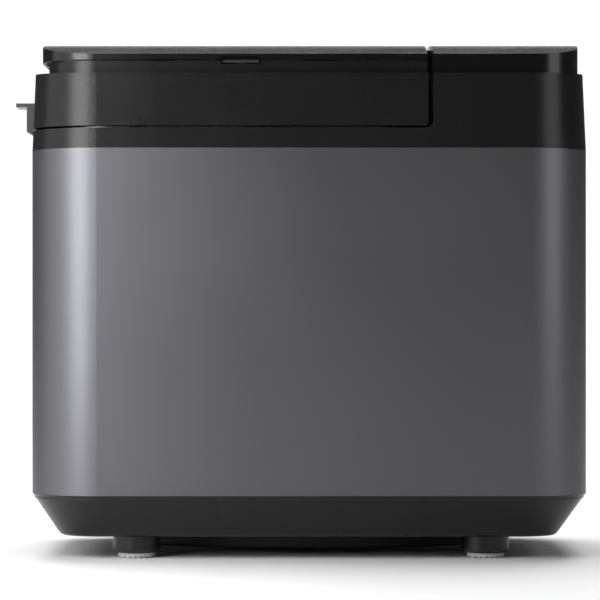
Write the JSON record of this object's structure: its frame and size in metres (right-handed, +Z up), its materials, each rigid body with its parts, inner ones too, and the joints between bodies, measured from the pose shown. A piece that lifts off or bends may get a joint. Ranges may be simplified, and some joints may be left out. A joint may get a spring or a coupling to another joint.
{
  "type": "bread machine",
  "caption": "Free-standing bread machine with a rear-hinged lid, crowned dispenser lid, control panel block, lift-out pan, belt drive and motor.",
  "frame": {"origin": "centre of the bounding box in plan, on the plane the pads stand on", "axes": "+X towards the control panel end, +Y away from the side with the finger notch, +Z up"},
  "size_m": [0.408, 0.245, 0.362],
  "materials": {
    "silver_paint": "metallic silver paint, satin",
    "black_satin": "fine satin black moulding",
    "black_gloss": "piano black, fine wear",
    "black_matte": "matte black moulding",
    "pad_rubber": "pale grey ribbed rubber",
    "window_clear": "smoked clear window",
    "lcd_grey": "grey display cell",
    "board_green": "coated circuit board",
    "galvanised": "zinc-plated sheet",
    "chamber_steel": "bare drawn sheet",
    "cast_aluminium": "die cast",
    "bright_steel": "polished steel wire",
    "dispenser_grey": "mid-grey moulding",
    "coupler_steel": "sintered steel",
    "pulley_plastic": "natural nylon",
    "belt_rubber": "ribbed belt rubber",
    "lamination": "stacked laminations",
    "copper_wire": "enamelled copper",
    "heater_steel": "heat-stained sheath",
    "nonstick": "dark non-stick coating",
    "gasket_rubber": "silicone",
    "latch_grey": "grey push bar",
    "button_grey": "dark grey key"
  },
  "bodies": {
    "body": {"outer_shell": "silver_paint", "rear_panel": "silver_paint", "base": "black_satin", "bottom_cover": "black_matte", "upper_housing": "black_satin", "control_panel": "black_gloss", "display_window": "window_clear", "display_module": "lcd_grey", "control_board": "board_green", "power_board": "board_green", "cord_gland": "black_matte", "chassis": "galvanised", "chamber": "chamber_steel", "pan_seat": "galvanised", "bearing_housing": "cast_aluminium", "drive_belt": "belt_rubber", "motor_stator": "lamination", "motor_coils": "copper_wire", "motor_brackets": "galvanised", "chassis_screws": "galvanised", "cover_screws": "galvanised", "heater": "heater_steel", "heater_clips": "galvanised", "sensor_holder": "bright_steel", "pad_1": "pad_rubber", "pad_2": "pad_rubber", "pad_3": "pad_rubber", "pad_4": "pad_rubber"},
    "main_drive": {"main_pulley": "pulley_plastic", "main_shaft": "bright_steel", "drive_coupler": "coupler_steel"},
    "motor_rotor": {"rotor": "lamination", "motor_pulley": "pulley_plastic", "motor_fan": "black_matte"},
    "sensor": {"sensor_tip": "bright_steel"},
    "pan": {"bread_pan": "nonstick", "pan_foot": "cast_aluminium"},
    "handle": {"pan_handle": "bright_steel"},
    "pan_drive": {"pan_shaft": "bright_steel", "pan_coupling": "coupler_steel"},
    "blade": {"kneading_blade": "nonstick"},
    "lid": {"lid_cover": "black_satin", "lid_liner": "chamber_steel", "lid_gasket": "gasket_rubber", "hinge_block": "black_satin", "hinge_pin": "bright_steel", "dispenser_pins": "bright_steel", "nut_box": "dispenser_grey", "yeast_box": "dispenser_grey", "flap_magnets": "lamination"},
    "top_lid": {"dispenser_lid": "black_gloss"},
    "latch": {"dispenser_latch": "latch_grey"},
    "nut_door": {"nut_flap": "dispenser_grey"},
    "yeast_door": {"yeast_flap": "dispenser_grey"},
    "button_start": {"button_start": "button_grey"},
    "button_menu": {"button_menu": "button_grey"},
    "button_size": {"button_size": "button_grey"},
    "button_colour": {"button_colour": "button_grey"},
    "button_plus": {"button_plus": "button_grey"},
    "button_minus": {"button_minus": "button_grey"}
  },
  "joints": [
    {"name": "lid_hinge", "type": "hinge", "parent": "body", "child": "lid", "pos_m": [-0.19, 0, 0.3025], "axis": [0, -1, 0], "range_deg": [0, 88]},
    {"name": "top_lid_hinge", "type": "hinge", "parent": "lid", "child": "top_lid", "pos_m": [-0.045, 0.1135, 0.3445], "axis": [-1, 0, 0], "range_deg": [0, 85]},
    {"name": "latch_push", "type": "slide", "parent": "lid", "child": "latch", "axis": [0, 1, 0], "range_m": [0, 0.002], "stiffness_N_per_m": 300, "springref_m": -0.001},
    {"name": "nut_flap_hinge", "type": "hinge", "parent": "lid", "child": "nut_door", "pos_m": [-0.08, 0.0588, 0.3168], "axis": [1, 0, 0], "range_deg": [0, 80]},
    {"name": "yeast_flap_hinge", "type": "hinge", "parent": "lid", "child": "yeast_door", "pos_m": [0.017, 0.0588, 0.3168], "axis": [1, 0, 0], "range_deg": [0, 80]},
    {"name": "pan_lift", "type": "slide", "parent": "body", "child": "pan", "axis": [0, 0, 1], "range_m": [0, 0.012]},
    {"name": "handle_swing", "type": "hinge", "parent": "pan", "child": "handle", "pos_m": [-0.045, 0, 0.232], "axis": [-1, 0, 0], "range_deg": [0, 90]},
    {"name": "pan_spin", "type": "hinge", "parent": "pan", "child": "pan_drive", "pos_m": [-0.045, 0, 0.08], "axis": [0, 0, 1], "continuous": true},
    {"name": "blade_lift", "type": "slide", "parent": "pan_drive", "child": "blade", "axis": [0, 0, 1], "range_m": [0, 0.018]},
    {"name": "main_spin", "type": "hinge", "parent": "body", "child": "main_drive", "pos_m": [-0.045, 0, 0.033], "axis": [0, 0, 1], "continuous": true},
    {"name": "motor_spin", "type": "hinge", "parent": "body", "child": "motor_rotor", "pos_m": [0.135, 0, 0.09], "axis": [0, 0, 1], "continuous": true},
    {"name": "sensor_push", "type": "slide", "parent": "body", "child": "sensor", "axis": [1, 0, 0], "range_m": [0, 0.002], "stiffness_N_per_m": 200, "springref_m": -0.001},
    {"name": "button_start_press", "type": "slide", "parent": "body", "child": "button_start", "axis": [0, 0, -1], "range_m": [0, 0.001], "stiffness_N_per_m": 400, "springref_m": -0.0008},
    {"name": "button_menu_press", "type": "slide", "parent": "body", "child": "button_menu", "axis": [0, 0, -1], "range_m": [0, 0.001], "stiffness_N_per_m": 400, "springref_m": -0.0008},
    {"name": "button_size_press", "type": "slide", "parent": "body", "child": "button_size", "axis": [0, 0, -1], "range_m": [0, 0.001], "stiffness_N_per_m": 400, "springref_m": -0.0008},
    {"name": "button_colour_press", "type": "slide", "parent": "body", "child": "button_colour", "axis": [0, 0, -1], "range_m": [0, 0.001], "stiffness_N_per_m": 400, "springref_m": -0.0008},
    {"name": "button_plus_press", "type": "slide", "parent": "body", "child": "button_plus", "axis": [0, 0, -1], "range_m": [0, 0.001], "stiffness_N_per_m": 400, "springref_m": -0.0008},
    {"name": "button_minus_press", "type": "slide", "parent": "body", "child": "button_minus", "axis": [0, 0, -1], "range_m": [0, 0.001], "stiffness_N_per_m": 400, "springref_m": -0.0008}
  ],
  "couplings": [
    {"joint": "pan_spin", "follows": "main_spin", "ratio": 1},
    {"joint": "motor_spin", "follows": "main_spin", "ratio": 5.07}
  ]
}
